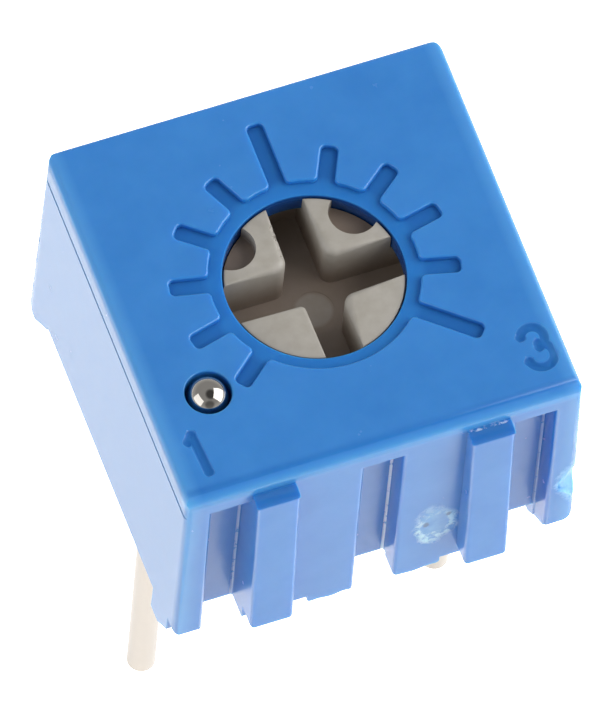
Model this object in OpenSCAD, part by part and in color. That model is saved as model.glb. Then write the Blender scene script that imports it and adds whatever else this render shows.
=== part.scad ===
// Square single-turn trimmer potentiometer, adjusted from the top, sealed, with three round pins.
// Millimetres. The rotor axis is Z. Z = 0 is the circuit board's surface, which the four feet stand on,
// and the terminals hang below it. The wiper terminal is towards +Y, terminals 1 and 3 are at -X and +X.

/* [Body] */
// Width of the moulded body across the terminals
body_w = 6.60; // [6.2:0.1:8.4]
// Depth of the moulded body without its front ribs
body_d = 6.60; // [6.2:0.1:8.4]
// Height from the board to the dial face
body_h = 4.80; // [4.4:0.1:6.0]
// Distance from the rotor axis to the front wall
axis_to_front = 3.25; // [3.1:0.05:4.2]
// Side wall thickness
wall = 0.45; // [0.35:0.05:0.55]
// Back wall thickness
back_wall = 0.40; // [0.35:0.05:0.55]
// Thickness of the dial plate over the rotor
plate_t = 0.50; // [0.4:0.05:0.8]
// Radius of the body's upright corners
corner_r = 0.12; // [0.05:0.01:0.3]
// Radius of the top edge over the front wall
front_edge_r = 0.27; // [0.1:0.01:0.4]
// Radius of the other three top edges
top_edge_r = 0.10; // [0.05:0.01:0.2]

/* [Front wall] */
// Width of the three upright grooves
groove_w = 0.66; // [0.4:0.02:0.8]
// Depth of the grooves behind the front wall
groove_depth = 0.38; // [0.2:0.02:0.46]
// Distance from the dial face to the top of the grooves
groove_drop = 0.52; // [0.4:0.02:1.2]
// Width of the two ribs
rib_w = 0.72; // [0.4:0.02:0.9]
// How far the ribs stand out of the front wall
rib_proud = 0.38; // [0.2:0.02:0.6]
// Wall left behind the grooves
wall_behind_groove = 0.37; // [0.3:0.01:0.45]
// Strip of front wall left between rib B and its groove
rib_b_margin = 0.12; // [0.05:0.01:0.2]
// Gap between the underside of the walls and the bottom of the ribs
rib_lift = 0.28; // [0.1:0.02:0.6]
// Distance from the dial face to the top of the ribs
rib_drop = 0.27; // [0.1:0.01:0.5]
// Width of the two low pads beside the middle groove
pad_w = 0.78; // [0.4:0.02:0.9]
// Radius of the front wall's outer lower corner on terminal 3's side
post_corner_r = 0.30; // [0.05:0.01:0.4]
// How far the low pads hang under the front wall
pad_drop = 0.16; // [0.05:0.01:0.25]

/* [Feet] */
// Height of the feet that hold the body off the board
foot_h = 0.55; // [0.4:0.05:0.8]
// Length of a foot along the side wall
foot_len = 0.64; // [0.4:0.02:0.9]
// Radius of a foot's rounded lower edges
foot_r = 0.18; // [0.05:0.01:0.25]
// Distance from the front wall to the front feet
front_foot_inset = 0.22; // [0.1:0.01:0.5]

/* [Dial] */
// Radius of the window over the rotor
window_r = 1.45; // [1.3:0.05:1.55]
// Width of the recessed ring round the window
ring_w = 0.22; // [0.15:0.01:0.3]
// Depth of the ring and the scale marks
mark_depth = 0.10; // [0.05:0.01:0.2]
// Width of a scale mark
mark_w = 0.27; // [0.15:0.01:0.35]
// Angle between two scale marks
mark_step = 26; // [20:1:27]
// Number of scale marks on each side of the middle one
marks_each_side = 5; // [2:1:6]
// Length of a short mark outside the ring
mark_short = 0.63; // [0.4:0.01:0.8]
// Length of the two long marks outside the ring
mark_long = 1.13; // [0.8:0.01:1.3]

/* [Rotor] */
// Radial running clearance of the rotor's head in the window
head_gap = 0.04; // [0.02:0.01:0.06]
// How far the rotor's face lies below the dial face
head_drop = 0.14; // [0.05:0.01:0.2]
// Radius of the bore that the rotor's drum turns in
bore_r = 2.25; // [2.15:0.05:2.3]
// Radial running clearance of the drum in its bore
drum_gap = 0.03; // [0.01:0.01:0.05]
// Running clearance between the drum and the dial plate
plate_gap = 0.02; // [0.01:0.01:0.04]
// Height of the drum
drum_h = 1.36; // [1.2:0.02:1.5]
// Width of the cross slot
slot_w = 0.62; // [0.4:0.02:0.8]
// Depth of the slot's floor below the dial face
slot_depth = 1.12; // [0.7:0.02:1.2]
// How far the slot's arms run on under the edge of the window
slot_run = 0.17; // [0.05:0.01:0.3]
// Radius of the two round pockets that make the pointer
pocket_r = 0.40; // [0.25:0.01:0.5]
// Depth of the pockets below the rotor's face
pocket_depth = 0.28; // [0.1:0.01:0.3]
// Radius of the round dimple in the slot's floor
dimple_r = 0.33; // [0.2:0.01:0.4]
// Turn of the rotor from the middle to each stop, in degrees
half_travel = 130; // [120:1:135]

/* [Seal] */
// Diameter of the seal ring's cord
seal_d = 0.44; // [0.36:0.02:0.48]

/* [Wiper] */
// Thickness of the wiper's sheet
wiper_t = 0.08; // [0.05:0.01:0.1]
// Width of one contact finger
finger_w = 0.16; // [0.1:0.01:0.18]
// Gap between the contact fingers
finger_gap = 0.07; // [0.05:0.01:0.1]
// Working gap left between a finger and the film under it
contact_gap = 0.02; // [0.01:0.01:0.04]

/* [Element] */
// Thickness of the ceramic plate
element_t = 0.60; // [0.5:0.05:0.8]
// Thickness of the printed films
film_t = 0.03; // [0.02:0.01:0.04]
// Room between the resistive track and the drum's bore
track_room = 0.30; // [0.26:0.01:0.4]
// Width of the resistive track
track_w = 0.50; // [0.3:0.02:0.54]
// Gap between the collector film and the resistive track
collector_gap = 0.40; // [0.3:0.02:0.5]
// Clearance between the ceramic plate and the walls
element_gap = 0.03; // [0.02:0.01:0.05]

/* [Terminals] */
// Distance between terminals 1 and 3
pin_pitch = 5.08; // [4.88:0.02:5.1]
// Distance from the line of terminals 1 and 3 to the wiper terminal
pin_offset = 2.54; // [2.3:0.02:2.6]
// Distance of terminals 1 and 3 in front of the rotor axis
pin_row = 0.40; // [0.2:0.05:0.6]
// Diameter of a terminal below the body
pin_d = 0.46; // [0.4:0.02:0.5]
// Length of the terminals below the board's surface
pin_len = 6.00; // [3:0.25:8]
// Height of the tapered tip of a terminal
tip_h = 0.12; // [0.05:0.01:0.2]
// Distance from the underside of the walls up to the potting
potting_recess = 0.25; // [0.05:0.05:0.4]

/* [Vent] */
// Diameter of the steel ball that closes the vent
ball_d = 0.68; // [0.5:0.02:0.7]
// How far the ball stands out of the top face
ball_proud = 0.16; // [0:0.02:0.2]
// Direction of the vent from the rotor axis, in degrees from -X towards the front
vent_angle = 32.2; // [30:0.2:36]
// Wall between the vent and the drum's bore
vent_wall = 0.21; // [0.15:0.01:0.3]
// Gap between the ball and the rim of its hole
ball_rim_gap = 0.05; // [0.03:0.01:0.1]

/* [Hidden] */
$fn = 96;
eps = 0.01;      // overlap of cutting shapes past the face they cut
far = 12;        // a length longer than the whole part

// Colours
blue_plastic = [0.25, 0.51, 0.78];
beige_plastic = [0.62, 0.60, 0.57];
seal_rubber = [0.55, 0.20, 0.12];
spring_metal = [0.80, 0.70, 0.45];
white_ceramic = [0.92, 0.91, 0.87];
cermet_black = [0.16, 0.15, 0.15];
silver_film = [0.75, 0.75, 0.72];
tinned_copper = [0.85, 0.82, 0.77];
solder_grey = [0.70, 0.71, 0.73];
epoxy_blue = [0.16, 0.27, 0.42];
ball_steel = [0.72, 0.72, 0.74];

// Places of the walls
front_y = -axis_to_front;
back_y = front_y + body_d;
half_w = body_w / 2;
wall_bottom = foot_h;
plate_bottom = body_h - plate_t;

// Front wall
groove_x = pin_pitch / 2;
rib_a_x = -groove_x + groove_w / 2 + rib_w / 2;
rib_b_x = groove_x - groove_w / 2 - rib_b_margin - rib_w / 2;
front_wall = groove_depth + wall_behind_groove;

// Dial
ring_r = window_r + ring_w;
short_reach = ring_r + mark_short;
long_reach = ring_r + mark_long;

// Rotor
head_r = window_r - head_gap;
head_top = body_h - head_drop;
drum_r = bore_r - drum_gap;
drum_top = plate_bottom - plate_gap;
drum_bottom = drum_top - drum_h;
slot_floor = body_h - slot_depth;
slot_reach = window_r + slot_run;
seal_drop = 1.10;                       // from the dial face down to the seal's groove
seal_groove_h = seal_d + 0.04;
seal_groove_top = body_h - seal_drop;
seal_z = seal_groove_top - seal_groove_h / 2;
seal_mid_r = drum_r - seal_d / 2;

// Stop: a lug on the drum's lower rim turns in a channel and meets a block at each end of its travel
lug_h = 0.22;
lug_reach = 0.22;
lug_half_angle = 11;
stop_slack = 2;                         // degrees between the lug and the block at full travel
stop_half_angle = 180 - half_travel - lug_half_angle - stop_slack;
channel_r = drum_r + lug_reach + 0.04;
channel_top = drum_bottom + lug_h + 0.04;

// Wiper
wiper_top = drum_bottom;
wiper_bottom = wiper_top - wiper_t;
key_w = 0.62;                           // square stub of the rotor that drives the wiper
key_gap = 0.02;
rivet_r = 0.46;
rivet_h = 0.12;
plate_r = 1.00;                         // the wiper's round plate
tip_r = 0.07;                           // rounded end of a finger
lance_y = -0.95;                        // edge of the window that the inner fingers hang from

// Element
contact_room = 0.52;                    // from the drum down to the ceramic plate
element_top = drum_bottom - contact_room;
element_bottom = element_top - element_t;
film_top = element_top + film_t;
potting_bottom = wall_bottom + potting_recess;
cavity_x = half_w - wall;
cavity_front = front_y + front_wall;
cavity_back = back_y - back_wall;
track_r = bore_r - track_room - track_w / 2;
collector_r = track_r - track_w / 2 - collector_gap;
inner_contact_r = collector_r - 0.37;   // where the inner fingers meet the collector film
track_half_angle = half_travel - 2;     // the resistive part, on each side of the wiper's side
lead_angle = 16;                        // end conductors along the track, in degrees

// Terminals
pin_r = pin_d / 2;
root_r = pin_r - 0.02;                  // slightly drawn-down root inside the potting
root_end = potting_bottom;              // the root starts where the potting does
leg_end = root_end - 0.55;              // and a long slight cone joins it to the leg
tip_end_r = 0.55 * pin_r;               // flat end of the tapered tip
pin_1 = [-pin_pitch / 2, -pin_row];
pin_2 = [0, pin_offset - pin_row];
pin_3 = [pin_pitch / 2, -pin_row];
crank_z = (element_bottom + potting_bottom) / 2 + 0.05;
hole_r = root_r + 0.03;                 // plated hole in the ceramic plate
land_r = hole_r + 0.04;                 // film round a terminal's hole
film_room = land_r + 0.04;              // room for that film and its solder in the housing
solder_h = 0.12;
relief_h = 0.35;                        // room over the solder joints

// Vent
ball_r = ball_d / 2;
ball_hole_r = ball_r + ball_rim_gap;
ball_z = body_h + ball_proud - ball_r;
seat_r = 0.78 * ball_r;                 // narrow part of the hole, whose edge the ball rests on
seat_z = ball_z - sqrt(ball_r * ball_r - seat_r * seat_r);
vent_r = bore_r + vent_wall + seat_r;
vent_at = -vent_r * unit(vent_angle);
duct_r = 0.12;
duct_z = channel_top - 0.20;

// ---- Shared shapes -------------------------------------------------------------------------------

// A direction in the plane of the board
function unit(angle) = [cos(angle), sin(angle)];

// A box given by its two corners
module box(low, high) {
    translate(low) cube(high - low);
}

// An upright round bar between two heights
module bar(r, z0, z1, at = [0, 0]) {
    translate([at[0], at[1], z0]) cylinder(r = r, h = z1 - z0);
}

// A wedge about the rotor axis, centred on an angle and reaching out to a radius
module wedge(mid, half, reach, z0, z1) {
    steps = 6;
    rim = [for (i = [0:steps]) mid - half + 2 * half * i / steps];
    big = reach / cos(half / steps);
    translate([0, 0, z0])
        linear_extrude(z1 - z0)
            polygon(concat([[0, 0]], [for (a = rim) big * unit(a)]));
}

// A part of a ring about the rotor axis
module ring_part(r_in, r_out, mid, half, z0, z1) {
    intersection() {
        difference() {
            bar(r_out, z0, z1);
            bar(r_in, z0 - eps, z1 + eps);
        }
        wedge(mid, half, 2 * r_out, z0, z1);
    }
}

// ---- Housing -------------------------------------------------------------------------------------

// Plan of the body with rounded upright corners
module body_plan() {
    x = half_w - corner_r;
    difference() {
        translate([-half_w, front_y]) square([body_w, body_d]);
        for (sx = [-1, 1], y = [front_y, back_y]) {
            inside = y < 0 ? y + corner_r : y - corner_r;
            difference() {
                translate([sx * half_w, y]) square(2 * corner_r, center = true);
                translate([sx * x, inside]) circle(corner_r);
            }
        }
    }
}

// What a rounded edge along X takes off: the edge runs at height body_h, with its wall at y
module edge_cut_x(y, side, r) {
    difference() {
        box([-far, min(y, y - side * r) - eps * (side < 0 ? 1 : 0), body_h - r],
            [far, max(y, y - side * r) + eps * (side > 0 ? 1 : 0), body_h + 1]);
        translate([-far - 1, y - side * r, body_h - r]) rotate([0, 90, 0]) cylinder(r = r, h = 2 * far + 2);
    }
}

// The same along Y, for a side wall
module edge_cut_y(side, r) {
    x = side * (half_w - r);
    difference() {
        box([min(x, side * (half_w + eps)), -far, body_h - r],
            [max(x, side * (half_w + eps)), far, body_h + 1]);
        translate([x, far + 1, body_h - r]) rotate([90, 0, 0]) cylinder(r = r, h = 2 * far + 2);
    }
}

// Outside of the body: block, ribs, pads and feet
module body_block() {
    difference() {
        translate([0, 0, wall_bottom]) linear_extrude(body_h - wall_bottom) body_plan();
        edge_cut_x(front_y, -1, front_edge_r);
        edge_cut_x(back_y, 1, top_edge_r);
        for (side = [-1, 1]) edge_cut_y(side, top_edge_r);
    }
}

// What the rounded lower corner of the front post beside terminal 3 takes off, in front of its foot
module post_cut() {
    x = half_w - post_corner_r;
    z = wall_bottom + post_corner_r;
    difference() {
        box([x, front_y - 1, -1], [far, front_y + front_foot_inset, z]);
        translate([x, front_y - 2, z]) rotate([-90, 0, 0]) cylinder(r = post_corner_r, h = 4);
    }
}

module rib(x) {
    box([x - rib_w / 2, front_y - rib_proud, wall_bottom + rib_lift],
        [x + rib_w / 2, front_y + 0.1, body_h - rib_drop]);
}

module front_pad(side) {
    inner = groove_w / 2;
    x = side > 0 ? inner : -inner - pad_w;
    box([x, front_y, wall_bottom - pad_drop], [x + pad_w, front_y + 0.30, wall_bottom + 0.1]);
}

// A foot under a side wall, from y to y + foot_len, with rounded lower edges
module foot(side, y) {
    x = side > 0 ? half_w - wall : -half_w;
    translate([x, 0, 0]) rotate([90, 0, 90]) linear_extrude(wall) {
        translate([y, foot_r]) square([foot_len, foot_h - foot_r + 0.1]);
        translate([y + foot_r, 0]) square([foot_len - 2 * foot_r, foot_r + 0.1]);
        for (end = [y + foot_r, y + foot_len - foot_r]) translate([end, foot_r]) circle(foot_r);
    }
}

// Scale marks: recesses with a rounded outer end, joined to the ring round the window
module scale_mark(angle, reach) {
    floor_z = body_h - mark_depth;
    rotate(angle) {
        box([window_r, -mark_w / 2, floor_z], [reach - mark_w / 2, mark_w / 2, body_h + 1]);
        bar(mark_w / 2, floor_z, body_h + 1, [reach - mark_w / 2, 0]);
    }
}

module dial_cuts() {
    bar(window_r, plate_bottom - eps, body_h + 1);
    bar(ring_r, body_h - mark_depth, body_h + 1);
    for (k = [-marks_each_side:marks_each_side]) {
        is_long = k == 0 || k == -marks_each_side;
        scale_mark(90 + k * mark_step, is_long ? long_reach : short_reach);
    }
}

// Bore for the drum, with the channel that its stop lug turns in
module rotor_cuts() {
    bar(bore_r, element_top - eps, plate_bottom);
    difference() {
        bar(channel_r, element_top - eps, channel_top);
        difference() {
            wedge(90, stop_half_angle, 2 * channel_r, element_top, channel_top + eps);
            bar(bore_r, element_top - 1, channel_top + 1);
        }
    }
}

module vent_cuts() {
    bar(ball_hole_r, seat_z, body_h + 1, vent_at);
    bar(seat_r, ball_z - ball_r - 0.08, seat_z + eps, vent_at);
    bar(duct_r, duct_z, seat_z, vent_at);
    translate([vent_at[0], vent_at[1], duct_z]) rotate([0, 90, vent_angle])
        cylinder(r = duct_r, h = vent_r - drum_r);
}

// Outline of the end conductor on terminal 1's side: a patch along the track's end and a lead that
// goes round it to the terminal's hole. The housing's relief over it is the same outline, grown.
function lead_outline(grow) =
    let (a = 90 + track_half_angle, b = a + lead_angle, r_in = track_r - track_w / 2,
         round_track = track_r + track_w / 2 + 0.13, rim = 0.95 * land_r + grow)
    [r_in * unit(a), round_track * unit(a) + grow * unit(a - 90), pin_1 + rim * unit(30),
     pin_1 + rim * unit(240), (round_track + 0.2) * unit(b) + grow * unit(b + 90), r_in * unit(b)];

// Room over the solder joint and the end film, beside the drum's bore
module solder_relief() {
    bar(film_room, element_top - eps, element_top + relief_h, pin_1);
    translate([0, 0, element_top - eps]) linear_extrude(relief_h + eps) polygon(lead_outline(0.06));
}

// Inside of the walls, from one height to another. Beside terminals 1 and 3 a thick wall gives way
// to the solder in the plate's edge.
module cavity(z0, z1, gap = 0) {
    box([-cavity_x + gap, cavity_front + gap, z0], [cavity_x - gap, cavity_back - gap, z1]);
    for (at = [pin_1, pin_3]) bar(hole_r + 0.06 - gap, z0, z1, at);
}

module housing() color(blue_plastic) difference() {
    union() {
        body_block();
        rib(rib_a_x);
        rib(rib_b_x);
        for (side = [-1, 1]) {
            front_pad(side);
            foot(side, front_y + front_foot_inset);
            foot(side, back_y - foot_len);
        }
    }
    for (x = [-groove_x, 0, groove_x])
        box([x - groove_w / 2, front_y - 1, -1],
            [x + groove_w / 2, front_y + groove_depth, body_h - groove_drop]);
    post_cut();
    cavity(-1, element_top);
    solder_relief();
    mirror([1, 0, 0]) solder_relief();
    rotor_cuts();
    dial_cuts();
    vent_cuts();
}

// ---- Rotor and what turns with it ----------------------------------------------------------------

module rotor_blank() {
    groove_floor = drum_r - seal_d - 0.01;
    bar(head_r, drum_top - eps, head_top);
    difference() {
        bar(drum_r, drum_bottom, drum_top);
        difference() {
            bar(drum_r + 1, seal_groove_top - seal_groove_h, seal_groove_top);
            bar(groove_floor, seal_groove_top - seal_groove_h - 1, seal_groove_top + 1);
        }
    }
    ring_part(drum_r - 0.2, drum_r + lug_reach, -90, lug_half_angle, drum_bottom, drum_bottom + lug_h);
    box([-key_w / 2, -key_w / 2, wiper_bottom - eps], [key_w / 2, key_w / 2, drum_bottom + eps]);
    bar(rivet_r, wiper_bottom - rivet_h, wiper_bottom);
}

module cross_slot() {
    intersection() {
        union() {
            for (turn = [0, 90])
                rotate(turn)
                    box([-slot_reach - 1, -slot_w / 2, slot_floor], [slot_reach + 1, slot_w / 2, body_h]);
        }
        bar(slot_reach, slot_floor, body_h);
    }
}

module rotor() color(beige_plastic) difference() {
    rotor_blank();
    cross_slot();
    bar(dimple_r, slot_floor - 0.05, slot_floor + eps);
    for (angle = [45, 135])
        rotate(angle) bar(pocket_r, head_top - pocket_depth, head_top + 1, [window_r, 0]);
}

module rotor_seal() color(seal_rubber)
    translate([0, 0, seal_z])
        rotate_extrude() translate([seal_mid_r, 0]) circle(r = seal_d / 2, $fn = 48);

// A sloping finger with a rounded contact, in the plane across X; it leaves the plate at y_root
module finger(x, y_root, y_tip) {
    z_tip = film_top + contact_gap;
    y_dir = sign(y_tip - y_root);
    translate([x - finger_w / 2, 0, 0]) rotate([90, 0, 90]) linear_extrude(finger_w) {
        polygon([[y_root - y_dir * 0.05, wiper_top], [y_root - y_dir * 0.05, wiper_bottom],
                 [y_root, wiper_bottom], [y_tip, z_tip], [y_tip + y_dir * tip_r, z_tip + tip_r],
                 [y_root + y_dir * 0.05, wiper_top]]);
        translate([y_tip, z_tip + tip_r]) circle(tip_r, $fn = 32);
    }
}

module wiper() color(spring_metal) {
    step = finger_w + finger_gap;
    difference() {
        union() {
            bar(plate_r, wiper_bottom, wiper_top);
            box([-1.5 * step, 0, wiper_bottom], [1.5 * step, plate_r + 0.08, wiper_top]);
            box([-1.2 * step, -1.18, wiper_bottom], [1.2 * step, 0, wiper_top]);
        }
        box([-key_w / 2 - key_gap, -key_w / 2 - key_gap, wiper_bottom - 1],
            [key_w / 2 + key_gap, key_w / 2 + key_gap, wiper_top + 1]);
        box([-step, lance_y, wiper_bottom - 1], [step, -0.50, wiper_top + 1]);
    }
    for (k = [-1:1]) finger(k * step, plate_r + 0.05, track_r);
    for (k = [-0.5, 0.5]) finger(k * step, lance_y - 0.02, -inner_contact_r);
}

// ---- Element -------------------------------------------------------------------------------------

module ceramic_element() color(white_ceramic) difference() {
    cavity(element_bottom, element_top, element_gap);
    for (at = [pin_1, [0, 0], pin_3]) bar(hole_r, element_bottom - 1, element_top + 1, at);
}

module resistive_track() color(cermet_black)
    ring_part(track_r - track_w / 2, track_r + track_w / 2, 90, track_half_angle, element_top, film_top);

module collector_film() color(silver_film) difference() {
    bar(collector_r, element_top, film_top);
    bar(hole_r, element_top - 1, film_top + 1);
}

// End conductor of the track, on terminal 1's side
module end_film() {
    color(silver_film) translate([0, 0, element_top]) linear_extrude(film_t) difference() {
        union() {
            polygon(lead_outline(0));
            translate(pin_1) circle(land_r);
        }
        translate(pin_1) circle(hole_r);
    }
}

module end_film_1() end_film();

module end_film_3() mirror([1, 0, 0]) end_film();

// ---- Terminals, solder and potting ---------------------------------------------------------------

// The straight part of a terminal below the body, with its tapered tip
module terminal_leg(at) {
    bar(pin_r, -pin_len + tip_h, leg_end, at);
    translate([at[0], at[1], -pin_len]) cylinder(r1 = tip_end_r, r2 = pin_r, h = tip_h);
    translate([at[0], at[1], leg_end]) cylinder(r1 = pin_r, r2 = root_r, h = root_end - leg_end);
}

module terminal(at) {
    color(tinned_copper) {
        terminal_leg(at);
        bar(root_r, root_end - eps, film_top + solder_h, at);
    }
}

// The root of the wiper terminal: up through the plate's middle, back inside the potting, then down
module crank() {
    bar(root_r, crank_z, film_top + solder_h - 0.02);
    bar(root_r, root_end - eps, crank_z, pin_2);
    translate([0, 0, crank_z]) rotate([-90, 0, 0]) cylinder(r = root_r, h = pin_2[1]);
    for (at = [[0, 0], pin_2]) translate([at[0], at[1], crank_z]) sphere(root_r);
}

module terminal_1() terminal(pin_1);

module terminal_2() color(tinned_copper) {
    terminal_leg(pin_2);
    crank();
}

module terminal_3() terminal(pin_3);

// Solder fills the plated hole round a terminal and stands as a small cone on the film
module solder_joint(at, h) {
    color(solder_grey) difference() {
        union() {
            bar(hole_r, element_bottom, film_top + eps, at);
            translate([at[0], at[1], film_top]) cylinder(r1 = land_r - 0.01, r2 = root_r + 0.02, h = h);
        }
        bar(root_r, element_bottom - 1, film_top + 1, at);
    }
}

module solder_joint_1() solder_joint(pin_1, solder_h);

module solder_joint_2() solder_joint([0, 0], solder_h - 0.04);

module solder_joint_3() solder_joint(pin_3, solder_h);

module potting() color(epoxy_blue) difference() {
    cavity(potting_bottom, element_bottom);
    for (at = [pin_1, pin_3]) bar(root_r, potting_bottom - 1, element_bottom + 1, at);
    crank();
}

module vent_ball() color(ball_steel) translate([vent_at[0], vent_at[1], ball_z]) sphere(ball_r);

// ---- Assembly ------------------------------------------------------------------------------------

housing();
rotor();
rotor_seal();
wiper();
ceramic_element();
resistive_track();
collector_film();
end_film_1();
end_film_3();
terminal_1();
terminal_2();
terminal_3();
solder_joint_1();
solder_joint_2();
solder_joint_3();
potting();
vent_ball();
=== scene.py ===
"""Square sealed trimmer potentiometer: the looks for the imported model, in metres, in the CAD frame."""
import math

import bmesh
import bpy
from mathutils import Matrix, Vector, noise


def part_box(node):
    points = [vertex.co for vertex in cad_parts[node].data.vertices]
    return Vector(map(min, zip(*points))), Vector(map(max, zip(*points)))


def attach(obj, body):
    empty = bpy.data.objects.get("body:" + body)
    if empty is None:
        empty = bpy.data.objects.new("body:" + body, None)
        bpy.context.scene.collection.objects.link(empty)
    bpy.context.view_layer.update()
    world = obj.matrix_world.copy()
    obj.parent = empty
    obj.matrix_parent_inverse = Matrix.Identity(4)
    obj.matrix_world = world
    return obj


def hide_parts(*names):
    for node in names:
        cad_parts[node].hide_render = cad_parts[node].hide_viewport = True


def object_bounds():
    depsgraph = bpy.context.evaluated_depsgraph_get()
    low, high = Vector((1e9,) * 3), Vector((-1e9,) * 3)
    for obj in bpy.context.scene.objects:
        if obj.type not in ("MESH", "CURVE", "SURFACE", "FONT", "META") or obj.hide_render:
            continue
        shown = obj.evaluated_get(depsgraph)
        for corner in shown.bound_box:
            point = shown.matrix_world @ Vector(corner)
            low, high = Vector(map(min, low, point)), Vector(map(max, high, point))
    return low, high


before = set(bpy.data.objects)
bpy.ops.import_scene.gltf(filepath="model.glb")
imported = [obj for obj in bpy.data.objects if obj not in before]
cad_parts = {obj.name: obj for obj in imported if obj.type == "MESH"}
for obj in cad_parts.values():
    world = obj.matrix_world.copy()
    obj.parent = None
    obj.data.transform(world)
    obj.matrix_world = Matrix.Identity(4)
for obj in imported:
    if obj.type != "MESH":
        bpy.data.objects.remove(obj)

cad_low, cad_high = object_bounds()
MM = 0.001


# ---- Sizes, in millimetres -----------------------------------------------------------------------
def node_box(node):
    """The low and the high corner of a CAD node."""
    low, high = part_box(node)
    return low / MM, high / MM


NEAR = 0.01                         # an edge belongs to a plane when its middle lies this near
CLEAR = 0.002                       # tools and added parts stand clear of a face by so much
FAR = 9                             # past the whole part, for cutting solids

# housing
house_low, house_high = node_box("housing")
HALF_W = house_high.x
BACK_Y = house_high.y
TOP_Z = house_high.z
WALL_Z = 0.55                       # underside of the walls: the feet reach down to the board at 0
SIDE_WALL = 0.45
FRONT_WALL = 0.75                   # from the front face to the cavity, behind the grooves
BACK_WALL = 0.40
DRAFT = 0.07                        # the moulded walls stand this much wider at the board
CORNER_R = 0.12                     # upright corners in front
BACK_CORNER_R = 0.24
FRONT_EDGE_R = 0.27                 # top edges
BACK_EDGE_R = 0.10
LEFT_EDGE_R = 0.16
RIGHT_EDGE_R = 0.10
LOW_EDGE_R = 0.03
PARTING_Z = TOP_Z - 0.50            # where the mould's halves met
PARTING_W = 0.052
POT_TOP = node_box("potting")[1].z

# ribs, grooves, pads, feet and posts
RIB_PROUD = 0.38
FRONT_Y = house_low.y + RIB_PROUD
RIB_FRONT = FRONT_Y - RIB_PROUD
RIB_W = 0.72
RIB_X = (-1.85, 1.73)
RIB_TOP = TOP_Z - 0.28
RIB_LOW = WALL_Z + 0.28
RIB_ROUND_Y = 0.16                  # the round along a rib's top edge is this deep
RIB_ROUND_Z = 0.08                  # and this high
RIB_LEAN = 0.13                     # a rib's front slopes back by so much to its top
RIB_CORNER_R = 0.07
GROOVE_X = (-2.54, 0.0, 2.54)
GROOVE_W = 0.66
GROOVE_Y = FRONT_Y + 0.38           # floor of the grooves
GROOVE_TOP = TOP_Z - 0.52
GROOVE_CORNER_R = 0.035
GROOVE_RIM_R = 0.07
PAD_W = 0.78
PAD_LOW = WALL_Z - 0.16
PAD_CORNER_R = 0.07
PAD_WAVE = 0.07                     # how far the trimmed edge of a pad goes up and down
PAD_SLANT = 0.05                    # and how steeply it slants
FOOT_SLOPE = 0.50                   # a foot's front end slopes up to the wall over this length
FRONT_FOOT_Y = (FRONT_Y + 0.06, FRONT_Y + 0.86)
BACK_FOOT_Y = (BACK_Y - 0.84, BACK_Y + CLEAR)
POST_R = {-1: 0.20, 1: 0.30}        # lower outer corner of the end post on each side
POST_DEPTH = 0.216                  # how far that corner runs in from the front face

# dial
MARK_DEPTH = 0.10
MARK_FLOOR = TOP_Z - MARK_DEPTH
MARK_W = 0.27
MARK_END_R = 0.085
MARK_CORNER_R = 0.08                # between a mark and the ring
MARK_RIM_R = 0.045
MARK_STEP = 26                      # degrees between the scale marks
MARKS_EACH_SIDE = 5                 # of the one that points away from the front wall
WINDOW_R = 1.45
RING_R = 1.67
SHORT_REACH = RING_R + 0.63
LONG_REACH = RING_R + 1.13
BORE_R = 2.25
PLATE_Z = TOP_Z - 0.50              # underside of the dial plate
HOLE_RIM_R = 0.03                   # rims of the window and the vent
STROKE_R = 0.155                    # round cutter of the terminals' numbers
STROKE_DEPTH = 0.044
ONE_AT = (-2.82, -2.43)
THREE_AT = (2.86, -2.32)

# rotor
HEAD_R = 1.43
HEAD_TOP = TOP_Z - 0.14
HEAD_EDGE_R = 0.04
DRUM_R = 2.22
DRUM_TOP = PLATE_Z - 0.02
DRUM_LOW = node_box("wiper")[1].z
SLOT_W = 0.62
SLOT_EXTRA = 0.08                   # the arm across is this much wider towards the front
SLOT_FLOOR = TOP_Z - 1.12
SLOT_REACH = 1.62
LAND_CORNER_R = 0.19                # upright corner of a land, in the middle of the cross
LAND_EDGE_R = 0.14                  # top edge of a land along the slot
CRISP_CORNER_R = 0.09               # the same two on the land in front of terminal 1
CRISP_EDGE_R = 0.06
POCKET_R = 0.40
POCKET_FLOOR = HEAD_TOP - 0.28
POCKETS_AT = [(WINDOW_R * math.cos(math.radians(a)) - 0.04, WINDOW_R * math.sin(math.radians(a)) - 0.11)
              for a in (45, 135)]
EJECTOR_R = 0.33                    # the round ejector mark in the slot's floor
EJECTOR_AT = (0.02, -0.06)
EJECTOR_DEPTH = 0.006

# vent
ball_low, ball_high = node_box("vent_ball")
BALL_AT = (ball_low + ball_high) / 2
BALL_R = (ball_high.x - ball_low.x) / 2
VENT_R = BALL_R + 0.035
VENT_DEPTH = 0.25                   # below the ball's middle

# scars: the sheared-off gate with two pits, the chipped post, and nicks by their drop from the top
GATE_AT = (0.97, FRONT_Y, TOP_Z - 3.04)
GATE_SIZE = (0.34, 0.30, 0.52)
GATE_PITS = ((-0.15, 0.04), (0.22, 0.19))
PIT_SIZE = (0.05, 0.20, 0.07)
CHIP_AT = (HALF_W + 0.16, FRONT_Y - 0.12, TOP_Z - 2.96)
CHIP_SIZE = (0.42, 0.34, 0.60)
NICK_DROPS = (0.62, 1.05, 1.9, 2.6, 3.2)

# grain of the finishes
FLOW_MARK = 1 / 1.1                 # length of the moulding's flow marks
SKIN_RIPPLE = 1 / 3                 # width of the ripples in its gloss
TORN_GRAIN = 1 / 6                  # grain of torn plastic
TORN_PATCH = 1 / 3                  # and of its larger patches
NYLON_CLOUD = 0.20                  # cloudy tone of the glass-filled nylon
NYLON_GRIT = 0.04                   # its skin, drawn coarser than its 0.01 fibres, or it wouldn't show
MOTTLE = 1 / 6                      # patches of tone and gloss on the other finishes


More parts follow.
